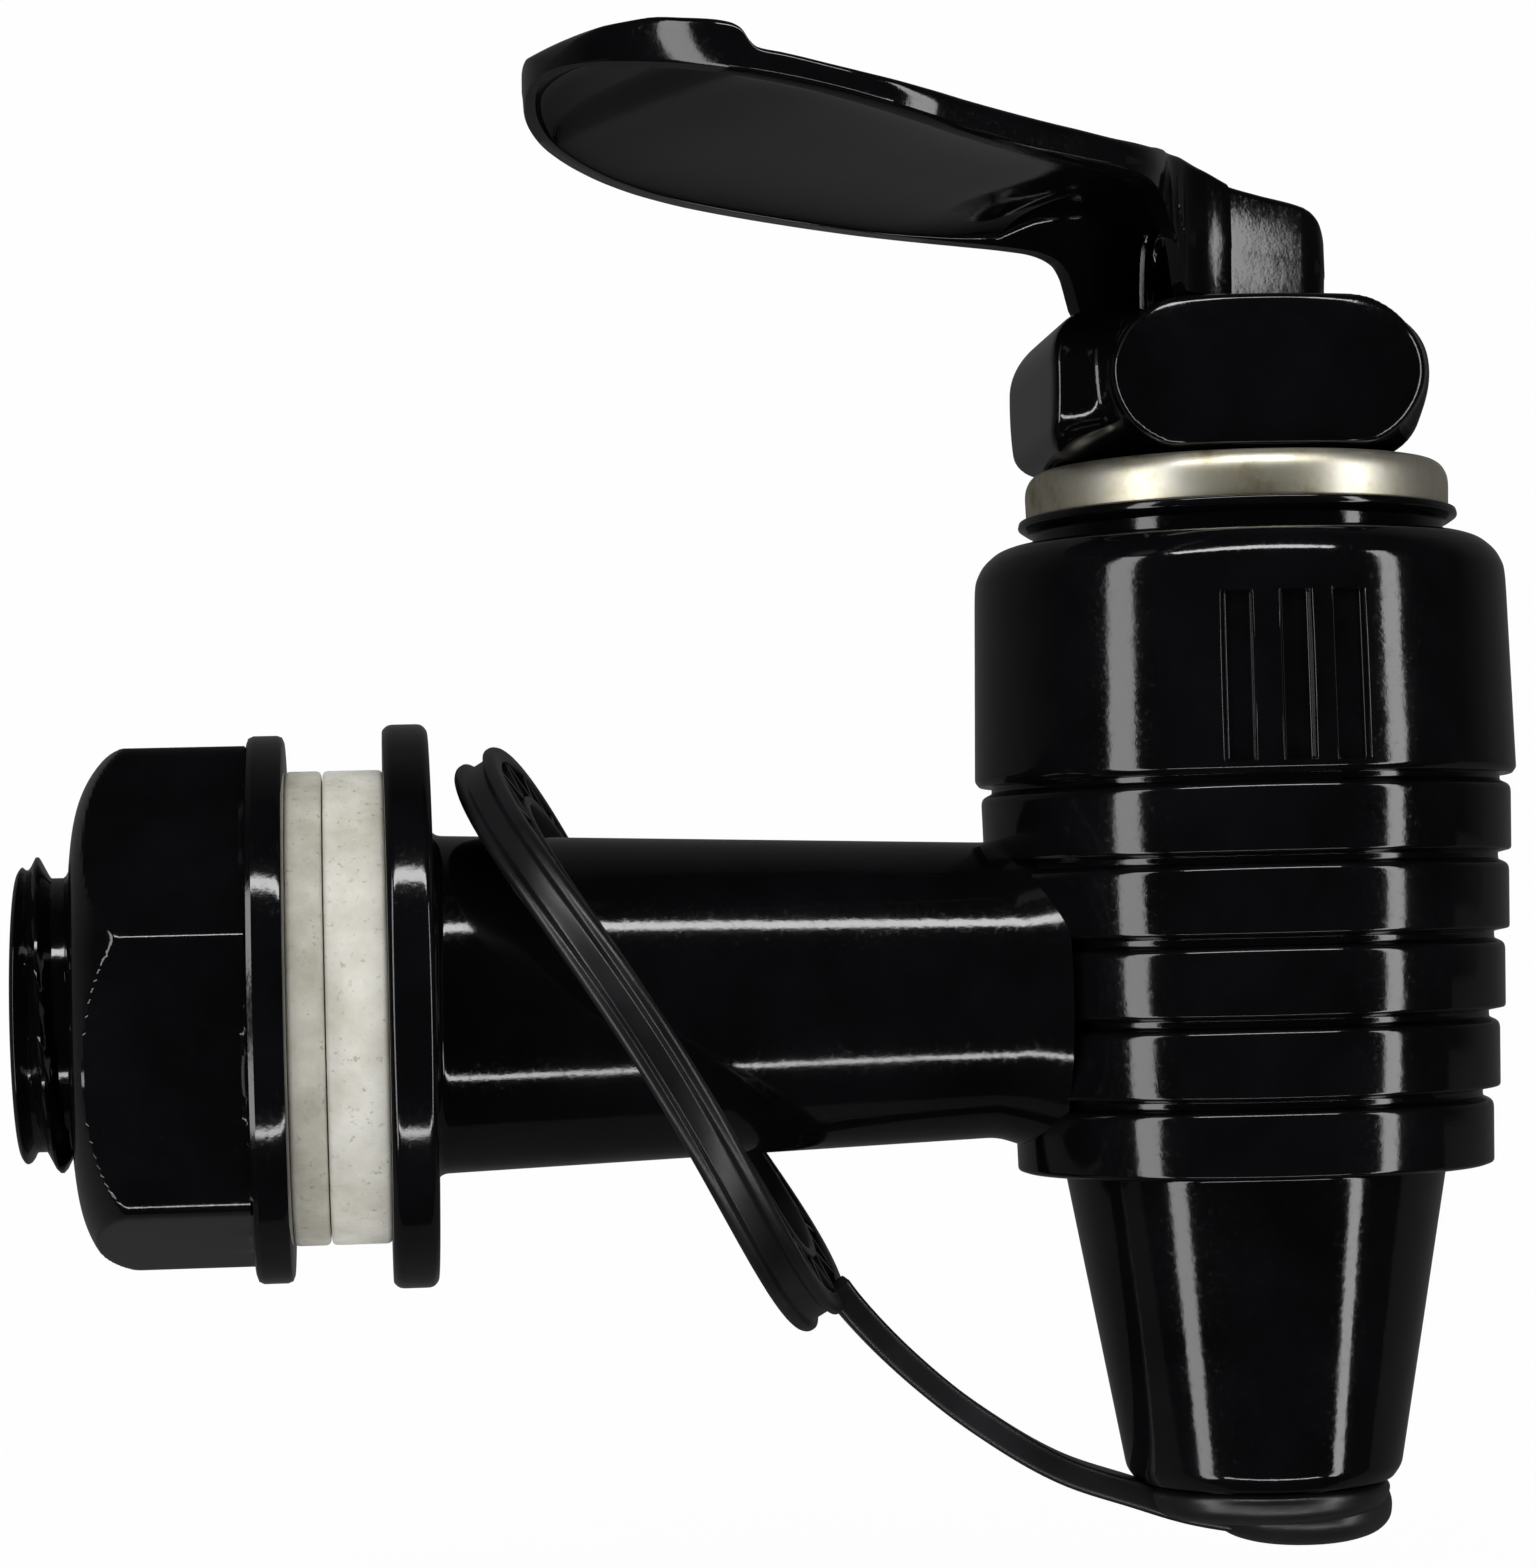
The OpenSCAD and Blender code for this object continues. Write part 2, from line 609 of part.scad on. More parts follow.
// The silicone plug that the stem presses onto the seat.
module valve_plug() {
    color(milky)
        turned_z([[0, plug_z], [plug_d / 2 - 0.4, plug_z], [plug_d / 2, plug_z + 0.4], [plug_d / 2, plug_z + 1.8],
            [plug_d / 2 - 1.8, plug_z + 2.6], [plug_d / 2 - 2, plug_z + 4.4], [neck_r + run, plug_z + 4.4],
            [neck_r + run, plug_z + 3.65], [stem_r + run, plug_z + 3.05], [stem_r + run, plug_z + 1.95],
            [stem_r - 0.8 + run, plug_z + 1.15], [0, plug_z + 1.15]]);
}

spigot_body();
tank_nut();
outer_washer();
inner_washer();
dust_cap();
bonnet();
bonnet_gasket();
trim_ring();
lever_handle();
valve_stem();
stem_seal();
return_spring();
valve_plug();
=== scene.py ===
"""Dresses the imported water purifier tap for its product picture: pieces, finishes, light and camera."""

import math

import bmesh
import bpy
import numpy as np
from mathutils import Matrix, Vector


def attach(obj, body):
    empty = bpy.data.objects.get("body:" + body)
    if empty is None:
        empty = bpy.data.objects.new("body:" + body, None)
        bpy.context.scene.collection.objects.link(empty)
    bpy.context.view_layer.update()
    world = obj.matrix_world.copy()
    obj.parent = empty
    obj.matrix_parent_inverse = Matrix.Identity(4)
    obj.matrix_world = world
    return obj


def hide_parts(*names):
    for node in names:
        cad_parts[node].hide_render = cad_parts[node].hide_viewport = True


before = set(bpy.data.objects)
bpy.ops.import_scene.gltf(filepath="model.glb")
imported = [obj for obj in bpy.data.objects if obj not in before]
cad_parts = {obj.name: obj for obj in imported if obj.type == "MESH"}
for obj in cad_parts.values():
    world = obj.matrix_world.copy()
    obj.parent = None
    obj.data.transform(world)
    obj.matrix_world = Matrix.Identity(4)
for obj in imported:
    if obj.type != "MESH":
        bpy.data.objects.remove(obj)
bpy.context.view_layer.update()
MM = 0.001

# ---------------------------------------------------------------- colours and node helper


def srgb(hexcode):
    """Linear colour of an sRGB hex value, with full opacity."""
    out = []
    for i in (0, 2, 4):
        c = int(hexcode[i:i + 2], 16) / 255
        out.append(c / 12.92 if c <= 0.04045 else ((c + 0.055) / 1.055) ** 2.4)
    return (*out, 1.0)


def add(tree, kind, settings=None, links=None):
    """Adds a node, sets its properties and sockets, and links its inputs to other nodes' outputs."""
    n = tree.nodes.new(kind)
    for key, value in (settings or {}).items():
        if isinstance(key, int) or key in n.inputs:
            n.inputs[key].default_value = value
        else:
            setattr(n, key, value)
    for key, source in (links or {}).items():
        tree.links.new(source, n.inputs[key])
    return n


def new_material(name):
    m = bpy.data.materials.new(name)
    m.use_nodes = True
    m.node_tree.nodes.clear()
    return m, m.node_tree


def ramp(tree, fac, stops):
    """A colour ramp over a value, from (place, colour) stops."""
    n = add(tree, "ShaderNodeValToRGB", links={"Fac": fac})
    el = n.color_ramp.elements
    el[0].position, el[0].color = stops[0]
    el[1].position, el[1].color = stops[-1]
    for place, colour in stops[1:-1]:
        e = el.new(place)
        e.color = colour
    return n.outputs["Color"]


def span(tree, value, low, high):
    """Maps 0..1 to low..high."""
    return add(tree, "ShaderNodeMapRange", {"To Min": low, "To Max": high}, {"Value": value}).outputs["Result"]


# ---------------------------------------------------------------- finishes


def moulded_black_abs():
    """Glossy injection-moulded ABS: near black, mirror-like skin with a faint orange peel and handling wear.

    A noise's scale is 1 over the size of its features in metres, so 420 gives features of 2.4 mm.
    """
    m, t = new_material("black_moulded_abs")
    at = add(t, "ShaderNodeTexCoord").outputs["Object"]
    # Orange peel left by the melt: soft waves of about 2.4 mm, the same in all directions
    peel = add(t, "ShaderNodeTexNoise", {"Scale": 420.0, "Detail": 2.0, "Roughness": 0.5}, {"Vector": at})
    # Handling grain about 0.25 mm across, drawn coarser than real so that it shows
    grain = add(t, "ShaderNodeTexNoise", {"Scale": 3800.0, "Detail": 3.0, "Roughness": 0.6}, {"Vector": at})
    # Dull patches about 5 mm across
    dull = add(t, "ShaderNodeTexNoise", {"Scale": 190.0, "Detail": 4.0, "Roughness": 0.6}, {"Vector": at})
    patch = span(t, dull.outputs["Fac"], 0.035, 0.12)
    speck = add(t, "ShaderNodeMapRange", {"From Min": 0.55, "From Max": 0.8, "To Min": 0.0, "To Max": 0.12},
                {"Value": grain.outputs["Fac"]})
    rough = add(t, "ShaderNodeMath", {"operation": "ADD"}, {0: patch, 1: speck.outputs["Result"]})
    colour = ramp(t, dull.outputs["Fac"], [(0.3, srgb("050506")), (0.7, srgb("0a0a0c"))])
    b1 = add(t, "ShaderNodeBump", {"Strength": 0.25, "Distance": 0.00004}, {"Height": peel.outputs["Fac"]})
    b2 = add(t, "ShaderNodeBump", {"Strength": 0.3, "Distance": 0.00001},
             {"Height": grain.outputs["Fac"], "Normal": b1.outputs["Normal"]})
    s = add(t, "ShaderNodeBsdfPrincipled", {"IOR": 1.5, "Specular IOR Level": 0.42},
            {"Base Color": colour, "Roughness": rough.outputs["Value"], "Normal": b2.outputs["Normal"]})
    add(t, "ShaderNodeOutputMaterial", links={"Surface": s.outputs["BSDF"]})
    return m


def soft_black_pe():
    """Soft moulded polyethylene: dark, satin, with a fine matt grain that softens its highlights."""
    m, t = new_material("black_soft_polyethylene")
    at = add(t, "ShaderNodeTexCoord").outputs["Object"]
    # Matt grain of 0.4 mm, coarser than real so that it shows, and gloss that changes over about 4 mm
    grain = add(t, "ShaderNodeTexNoise", {"Scale": 2600.0, "Detail": 4.0, "Roughness": 0.65}, {"Vector": at})
    smear = add(t, "ShaderNodeTexNoise", {"Scale": 240.0, "Detail": 3.0}, {"Vector": at})
    rough = span(t, smear.outputs["Fac"], 0.24, 0.42)
    colour = ramp(t, smear.outputs["Fac"], [(0.3, srgb("0b0b0c")), (0.75, srgb("17171a"))])
    b = add(t, "ShaderNodeBump", {"Strength": 0.35, "Distance": 0.00002}, {"Height": grain.outputs["Fac"]})
    s = add(t, "ShaderNodeBsdfPrincipled", {"IOR": 1.5},
            {"Base Color": colour, "Roughness": rough, "Normal": b.outputs["Normal"]})
    add(t, "ShaderNodeOutputMaterial", links={"Surface": s.outputs["BSDF"]})
    return m


def milky_silicone(name, light, shade):
    """Cut silicone sheet: milky, a little see-through, clouded and speckled with grey from handling."""
    m, t = new_material(name)
    at = add(t, "ShaderNodeTexCoord").outputs["Object"]
    # Clouds of about 4 mm in the sheet, and dirt specks of 0.4 mm
    cloud = add(t, "ShaderNodeTexNoise", {"Scale": 260.0, "Detail": 5.0, "Roughness": 0.6}, {"Vector": at})
    speck = add(t, "ShaderNodeTexNoise", {"Scale": 2400.0, "Detail": 3.0, "Roughness": 0.7}, {"Vector": at})
    colour = ramp(t, cloud.outputs["Fac"], [(0.32, srgb(shade)), (0.62, srgb(light))])
    dirt = ramp(t, speck.outputs["Fac"], [(0.60, (1, 1, 1, 1)), (0.74, srgb("a9a698"))])
    mixed = add(t, "ShaderNodeMix", {"data_type": "RGBA", "blend_type": "MULTIPLY"})
    mixed.inputs[0].default_value = 0.8
    t.links.new(colour, mixed.inputs[6])
    t.links.new(dirt, mixed.inputs[7])
    b = add(t, "ShaderNodeBump", {"Strength": 0.4, "Distance": 0.00003}, {"Height": speck.outputs["Fac"]})
    s = add(t, "ShaderNodeBsdfPrincipled",
            {"IOR": 1.41, "Roughness": 0.42, "Subsurface Weight": 0.35, "Subsurface Scale": 0.0012,
             "Subsurface Radius": (1.0, 0.9, 0.75)},
            {"Base Color": mixed.outputs[2], "Normal": b.outputs["Normal"]})
    add(t, "ShaderNodeOutputMaterial", links={"Surface": s.outputs["BSDF"]})
    return m


def plated_trim():
    """Pressed metal ring with a worn bright plating that lets a warm brass tone through."""
    m, t = new_material("bright_plated_brass")
    at = add(t, "ShaderNodeTexCoord").outputs["Object"]
    # Tarnish in patches of 3 mm, and a pressed texture of 0.3 mm
    tarnish = add(t, "ShaderNodeTexNoise", {"Scale": 330.0, "Detail": 5.0, "Roughness": 0.65}, {"Vector": at})
    fine = add(t, "ShaderNodeTexNoise", {"Scale": 3000.0, "Detail": 3.0}, {"Vector": at})
    colour = ramp(t, tarnish.outputs["Fac"],
                  [(0.30, srgb("a3987a")), (0.46, srgb("d6d0b9")), (0.68, srgb("ece9dd"))])
    rough = span(t, tarnish.outputs["Fac"], 0.52, 0.32)
    b = add(t, "ShaderNodeBump", {"Strength": 0.25, "Distance": 0.00002}, {"Height": fine.outputs["Fac"]})
    s = add(t, "ShaderNodeBsdfPrincipled", {"Metallic": 1.0},
            {"Base Color": colour, "Roughness": rough, "Normal": b.outputs["Normal"]})
    add(t, "ShaderNodeOutputMaterial", links={"Surface": s.outputs["BSDF"]})
    return m


def drawn_steel_wire():
    """Drawn stainless spring wire: bright, with fine draw marks."""
    m, t = new_material("drawn_stainless_wire")
    at = add(t, "ShaderNodeTexCoord").outputs["Object"]
    # Draw marks of about 0.6 mm, coarser than real so that they show
    mark = add(t, "ShaderNodeTexNoise", {"Scale": 1800.0, "Detail": 4.0}, {"Vector": at})
    rough = span(t, mark.outputs["Fac"], 0.2, 0.4)
    colour = ramp(t, mark.outputs["Fac"], [(0.3, srgb("8f9294")), (0.7, srgb("b9bcbe"))])
    s = add(t, "ShaderNodeBsdfPrincipled", {"Metallic": 1.0}, {"Base Color": colour, "Roughness": rough})
    add(t, "ShaderNodeOutputMaterial", links={"Surface": s.outputs["BSDF"]})
    return m


ABS = moulded_black_abs()
SOFT = soft_black_pe()
SILICONE = milky_silicone("milky_silicone", "e9e7de", "c9c6b8")
# The inner washer's silicone: the same milky sheet in a greyer tone overall
SILICONE_GREY = milky_silicone("greyer_silicone", "cfccc0", "a7a496")
PLATED = plated_trim()
WIRE = drawn_steel_wire()

for node, finish in {
    "spigot_body": ABS, "tank_nut": ABS, "bonnet": ABS, "lever_handle": ABS, "valve_stem": ABS,
    "dust_cap": SOFT, "stem_seal": SOFT, "outer_washer": SILICONE, "inner_washer": SILICONE_GREY,
    "bonnet_gasket": SILICONE, "valve_plug": SILICONE, "trim_ring": PLATED, "return_spring": WIRE,
}.items():
    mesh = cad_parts[node].data
    mesh.materials.clear()
    mesh.materials.append(finish)

# ---------------------------------------------------------------- shape helpers, all sizes in millimetres

AXIS_X = 44.7                    # barrel axis, from the sealing face
LEVER_TURN = math.radians(24)    # the lever is swung this far towards the photograph's side


def smooth_curve(points):
    """A curve through (place, value) points that never swings past them."""
    x, y = (np.array(v, float) for v in zip(*points))
    h = np.diff(x)
    d = np.diff(y) / h
    m = np.zeros(len(x))
    same = d[:-1] * d[1:] > 0
    w1, w2 = 2 * h[1:] + h[:-1], h[1:] + 2 * h[:-1]
    with np.errstate(divide="ignore", invalid="ignore"):
        m[1:-1] = np.where(same, (w1 + w2) / (w1 / d[:-1] + w2 / d[1:]), 0)
    m[0], m[-1] = d[0], d[-1]

    def at(s):
        s = np.clip(s, x[0], x[-1])
        i = np.clip(np.searchsorted(x, s) - 1, 0, len(h) - 1)
        t = (s - x[i]) / h[i]
        return ((2 * t**3 - 3 * t**2 + 1) * y[i] + (t**3 - 2 * t**2 + t) * h[i] * m[i]
                + (3 * t**2 - 2 * t**3) * y[i + 1] + (t**3 - t**2) * h[i] * m[i + 1])
    return at


def eased(points, steps=4, closed=True):
    """An outline with its corners rounded, from points of two places and how far the round reaches."""
    out = []
    n = len(points)
    for i, (x, y, reach) in enumerate(points):
        p = np.array((x, y), float)
        if reach <= 0 or (not closed and i in (0, n - 1)):
            out.append(p)
            continue
        u = np.array(points[i - 1][:2]) - p
        v = np.array(points[(i + 1) % n][:2]) - p
        lu, lv = np.linalg.norm(u), np.linalg.norm(v)
        a = p + u / lu * min(reach, 0.45 * lu)
        b = p + v / lv * min(reach, 0.45 * lv)
        for k in range(steps + 1):
            t = k / steps
            out.append((1 - t)**2 * a + 2 * t * (1 - t) * p + t * t * b)
    return np.array(out)


def skin(grid, loop=False, caps=False):
    """Points and faces of rows of points, each row closed round. A loop joins the last row to the first."""
    rows, cols, _ = grid.shape
    pts = grid.reshape(-1, 3)
    faces = []
    for i in range(rows if loop else rows - 1):
        a, b = i * cols, ((i + 1) % rows) * cols
        faces += [(a + j, a + (j + 1) % cols, b + (j + 1) % cols, b + j) for j in range(cols)]
    if caps:
        c = rows * cols
        pts = np.vstack([pts, grid[0].mean(0), grid[-1].mean(0)])
        faces += [(c, (j + 1) % cols, j) for j in range(cols)]
        faces += [(c + 1, (rows - 1) * cols + j, (rows - 1) * cols + (j + 1) % cols) for j in range(cols)]
    return pts, faces


def turned(outline, along="z", at=AXIS_X, angles=160, change=None, loop=True):
    """A turned form from (radius, place) points. change(angle, outline) adds to the radius."""
    a = np.linspace(0, 2 * math.pi, angles, endpoint=False) if isinstance(angles, int) else angles
    r = outline[:, :1] + np.zeros((1, len(a)))
    if change:
        r = r + change(a[None, :], outline)
    h = outline[:, 1:] + np.zeros((1, len(a)))
    if along == "z":
        grid = np.stack([at + r * np.cos(a), r * np.sin(a), h], -1)
    else:
        grid = np.stack([h, r * np.cos(a), r * np.sin(a)], -1)
    return skin(grid, loop=loop)


def joined(*parts):
    """Several (points, faces) as one."""
    pts, faces, n = [], [], 0
    for p, f in parts:
        pts.append(p)
        faces += [tuple(i + n for i in q) for q in f]
        n += len(p)
    return np.vstack(pts), faces


def piece(name, shape, finish, body, node, sharp=32):
    """One finished piece: merged, faced outwards, smooth but for its sharp edges, riding in its node's place."""
    pts, faces = shape
    mesh = bpy.data.meshes.new(name)
    mesh.from_pydata([tuple(p) for p in pts * MM], [], faces)
    bm = bmesh.new()
    bm.from_mesh(mesh)
    bmesh.ops.remove_doubles(bm, verts=bm.verts, dist=0.000002)
    bmesh.ops.delete(bm, geom=[e for e in bm.edges if not e.link_faces], context="EDGES")
    bmesh.ops.recalc_face_normals(bm, faces=bm.faces)
    bm.to_mesh(mesh)
    bm.free()
    mesh.materials.append(finish)
    mesh.polygons.foreach_set("use_smooth", [True] * len(mesh.polygons))
    mesh.set_sharp_from_angle(angle=math.radians(sharp))
    o = bpy.data.objects.new(name, mesh)
    bpy.context.collection.objects.link(o)
    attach(o, body)
    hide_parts(node)
    return o


# ---------------------------------------------------------------- body: shank, barrel, spout

RINGS = 5
RING_TOP, RING_H, RING_GROOVE = 10.5, 4.05, 0.55
RING_D, RING_TAPER = 27.4, 2.7             # first ring's diameter, and how much less the last one's is
SPOUT_LOW = -25.6
GRIP_R = 13.9                              # collar's radius where the grip bars are
GRIP_BARS = ((-3.66, -2.27), (-0.78, 0.71), (1.91, 3.53))
GRIP_LOW, GRIP_HIGH, GRIP_DEEP, GRIP_LIP = 11.05, 19.45, 0.45, 0.26
THREAD_TIP, THREAD_PITCH, THREAD_MID_R = -18.5, 2.0, 7.5
FLANGE_R, SHANK_BORE_R = 14.35, 5


def barrel_outline():
    """Barrel and spout: socket wall, rounded collar, five rings, tapered spout and its bore."""
    pts = [(10.7, 11.2, 0), (10.7, 22.9, 0.2), (11.9, 22.9, 0.35), (12.6, 22.65, 0.3), (13.3, 22.05, 0.4),
           (13.68, 21.3, 0.35), (13.75, 20.7, 0.3)]
    pts += [(13.78 + 0.22 * (19.9 - z) / 9, z, 0) for z in (19.9, 19.45, 19.3, 17, 14, 11.2, 11.05)]
    pts += [(14.0, 10.8, 0.12), (13.78, RING_TOP, 0.12)]
    for i in range(RINGS):
        last = i == RINGS - 1
        r = (RING_D - RING_TAPER * (i / (RINGS - 1))**1.35) / 2
        top = RING_TOP - RING_H * i
        low = -9.42 if last else top - RING_H + 0.16
        pts += [(r - RING_GROOVE, top, 0.06), (r - RING_GROOVE, top - 0.34, 0.08),
                (r, top - 0.6, 0.34), (r - 0.07, low, 0.16)]
    pts += [(11.8, -9.58, 0.12), (9.85, -9.52, 0.25), (7.1, -24.9, 0.3), (6.6, SPOUT_LOW, 0.25),
            (5.3, SPOUT_LOW, 0.2), (5.3, -8, 0), (4.4, -8, 0), (4.4, -4.6, 0), (9, -4.6, 0), (9, 11.2, 0)]
    return eased(pts)


def bar_angles():
    """Angles round the barrel, closer together at the edges of the three grip bars."""
    a = list(np.linspace(0, 2 * math.pi, 192, endpoint=False))
    for pair in GRIP_BARS:
        for x in pair:
            a += [1.5 * math.pi + math.asin((x + d) / GRIP_R) for d in np.linspace(-0.16, 0.16, 11)]
    return np.array(sorted(a))


def bar_recess(a, outline):
    """How far the grip bars lie in below the collar's face, with rounded lips at their sides."""
    x = GRIP_R * np.cos(a)
    z = outline[:, 1:]
    depth = np.zeros((len(outline), a.shape[1]))
    up = np.clip((z - GRIP_LOW) / 0.15, 0, 1) * np.clip((GRIP_HIGH - z) / 0.15, 0, 1)
    on = (outline[:, :1] > 13.5) * up
    front = np.sin(a) < 0
    for x0, x1 in GRIP_BARS:
        across = np.clip((x - x0) / GRIP_LIP + 0.5, 0, 1) * np.clip((x1 - x) / GRIP_LIP + 0.5, 0, 1) * front
        depth = np.maximum(depth, on * across**2 * (3 - 2 * across))
    return -GRIP_DEEP * depth


def shank_outline():
    """Threaded end, flange and tapered shank with its small flare at the barrel, as a tube."""
    pts = [(SHANK_BORE_R, THREAD_TIP, 0.15), (7.2, THREAD_TIP, 0.15), (THREAD_MID_R, -18.3, 0.1)]
    pts += [(THREAD_MID_R, x, 0) for x in np.arange(-18.2, 0.01, 0.125)]
    pts += [(THREAD_MID_R, 0.1, 0), (14.05, 0.0, 0.1), (FLANGE_R, 0.3, 0.3), (FLANGE_R, 2.0, 0.3),
            (14.0, 2.3, 0.15), (8.95, 2.3, 0.15), (8.62, 2.65, 0.3), (7.62, 31.2, 0.6), (8.1, 32.6, 0.3),
            (8.6, 34.0, 0), (SHANK_BORE_R, 34.0, 0)]
    return eased(pts)


def thread_rise(a, outline):
    """Right-handed M16 x 2 thread: rounded crests on a thinner core, run out at both ends."""
    x = outline[:, 1:]
    core = (np.abs(outline[:, :1] - THREAD_MID_R) < 0.001) * (x > -18.25) * (x < 0.05)
    turn = (x / THREAD_PITCH - a / (2 * math.pi)) % 1.0
    from_crest = np.clip(np.minimum(turn, 1 - turn) / 0.38, 0, 1)
    wave = 0.5 - 1.08 * np.clip(from_crest * 1.35 - 0.15, 0, 1)
    fade = np.clip((x + 18.25) / 0.5, 0, 1)
    return core * wave * fade


piece("tap_body", joined(turned(barrel_outline(), angles=bar_angles(), change=bar_recess),
                         turned(shank_outline(), along="x", angles=120, change=thread_rise)),
      ABS, "body", "spigot_body")

# ---------------------------------------------------------------- nut and washers


def hexagon_nut():
    """Flanged hexagon nut: rounded corners, and a domed end that cuts the corners in arcs."""
    turn = math.radians(-15.6)
    flat_r, corner_r, bore_r = 12, 13.72, 8.05
    dome_x, dome_h, dome_r0, dome_r = -11.0, 4.6, 8.8, 5.4
    a = np.linspace(0, 2 * math.pi, 480, endpoint=False)
    off = (a + math.pi / 6) % (math.pi / 3) - math.pi / 6
    flats = ((flat_r / np.cos(off))**-140 + corner_r**-140)**(-1 / 140)
    rows = [(np.full_like(a, r), x) for r, x in ((bore_r, -4.95), (bore_r, -15.1), (8.45, -15.6))]
    dome_steps = 33
    for k in range(dome_steps + 1):
        phi = math.pi / 2 * k / dome_steps
        rows.append((np.minimum(flats, dome_r0 + dome_r * math.sin(phi)), dome_x - dome_h * math.cos(phi)))
    rows += [(flats, x) for x in (-10, -8.6, -7.15)]
    rows += [(np.maximum(flats, 12.3), -6.95), (np.maximum(flats, 12.6), -6.88)]
    flange = ((13.5, -6.85), (13.78, -6.75), (13.9, -6.5), (13.9, -5.3), (13.8, -5.05), (13.55, -4.95))
    rows += [(np.full_like(a, r), x) for r, x in flange]
    grid = []
    for r, x in rows:
        y, z = r * np.sin(a), -r * np.cos(a)
        grid.append(np.stack([np.full_like(a, x), y * math.cos(turn) - z * math.sin(turn),
                              y * math.sin(turn) + z * math.cos(turn)], -1))
    return skin(np.array(grid), loop=True)


piece("hexagon_nut", hexagon_nut(), ABS, "nut", "tank_nut", sharp=24)
WASHER_BORE_R, WASHER_R = 8.1, 12.05
for name, finish, body, x0, x1 in (("outer_washer", SILICONE, "body", -3.05, 0),
                                   ("inner_washer", SILICONE_GREY, "nut_carrier", -4.95, -3.1)):
    rim = eased([(WASHER_BORE_R, x0, 0.2), (WASHER_R, x0, 0.3), (WASHER_R, x1, 0.3), (WASHER_BORE_R, x1, 0.2)])
    piece("silicone_" + name, turned(rim, along="x", angles=144), finish, body, name)

# ---------------------------------------------------------------- bonnet, trim ring

KNOB_Z, KNOB_H = 26.9, 7.8
LOBE_FLAT, LOBE_ROUND = 4.05, 3.85                  # half a lobe's width: its flat, and what its round side adds
LEFT_REACH, HEEL_REACH, FACE_REACH = 10.7, 8.1, 9.5  # how far the lobes reach from the barrel axis
SIDE_POWER, FACE_POWER, BLEND_POWER = 26, 46, 11    # the higher, the crisper the edges and the hollows


def drawn_in(row, share):
    """A row of points drawn in towards the barrel axis."""
    return np.stack([AXIS_X + share * (row[:, 0] - AXIS_X), share * row[:, 1], row[:, 2]], -1)


def lobe_end(z, reach, top, low):
    """A lobe's reach at a height, rounded in over its top and low edges."""
    high = max(0, z - (KNOB_H - top))
    deep = max(0, low - z)
    round_in = top - math.sqrt(max(0, top**2 - high**2)) if high else 0
    round_in += low - math.sqrt(max(0, low**2 - deep**2)) if deep else 0
    return reach - round_in


def grip_knob():
    """Four grip lobes: two crossed bars with round sides, hollows between them and crisp, full faces."""
    a = np.linspace(0, 2 * math.pi, 640, endpoint=False)
    c, s = np.cos(a), np.sin(a)
    levels = np.concatenate([[0, 0.03, 0.1, 0.2, 0.3], np.linspace(0.45, KNOB_H - 0.45, 34),
                             KNOB_H - np.array([0.3, 0.2, 0.1, 0.03, 0])])
    rows = []
    for z in levels:
        up = (z - KNOB_H / 2) / (KNOB_H / 2)
        w = LOBE_FLAT + LOBE_ROUND * math.sqrt(max(0, 1 - up**2))
        x_reach = np.where(c < 0, lobe_end(z, LEFT_REACH, 3.0, 1.5), lobe_end(z, HEEL_REACH, 3.0, 1.5))
        y_reach = lobe_end(z, FACE_REACH, 0.35, 0.35)
        across = np.clip(y_reach * np.abs(c) / np.maximum(np.abs(s), 0.2) / w, 0, 1)
        y_out = y_reach + 0.28 - 0.5 * across**2 - 0.35 * up**2
        bar_x = ((np.abs(c) / x_reach)**SIDE_POWER + (np.abs(s) / w)**SIDE_POWER)**(-1 / SIDE_POWER)
        bar_y = ((np.abs(s) / y_out)**FACE_POWER + (np.abs(c) / w)**FACE_POWER)**(-1 / FACE_POWER)
        r = (bar_x**BLEND_POWER + bar_y**BLEND_POWER)**(1 / BLEND_POWER)
        # Away from the hollows the blend would swell the faces, so it fades out there
        near = np.exp(-((np.log(bar_x / bar_y)) / 0.22)**2)
        r = near * r + (1 - near) * np.maximum(bar_x, bar_y)
        rows.append(np.stack([AXIS_X + r * c, r * s, np.full_like(a, KNOB_Z + z)], -1))
    deck = [drawn_in(rows[-1], k) for k in (0.8, 0.4)]
    under = [drawn_in(rows[0], k) for k in (0.4, 0.8)]
    return skin(np.array(under + rows + deck), caps=True)


hub = eased([(8.3, 12.2, 0.1), (10.2, 12.2, 0.1), (10.65, 12.6, 0.1), (10.65, 23.6, 0.05), (10.9, 23.6, 0.1),
             (11.42, 23.95, 0.15), (11.32, 24.35, 0.12), (9.8, 24.35, 0), (9.8, 26.7, 0.1), (6, 26.95, 0),
             (6, 27.6, 0), (2.85, 27.6, 0), (2.85, 22, 0), (8.3, 22, 0)])
piece("grip_bonnet", joined(grip_knob(), turned(hub)), ABS, "body", "bonnet", sharp=38)
ring = eased([(9.85, 24.35, 0.1), (10.95, 24.35, 0.12), (11.0, 25.9, 0.5), (10.72, 26.5, 0.3),
              (10.3, 26.78, 0.2), (9.85, 26.75, 0.1)])
piece("rolled_trim_ring", turned(ring, angles=200), PLATED, "body", "trim_ring", sharp=50)

# ---------------------------------------------------------------- lever

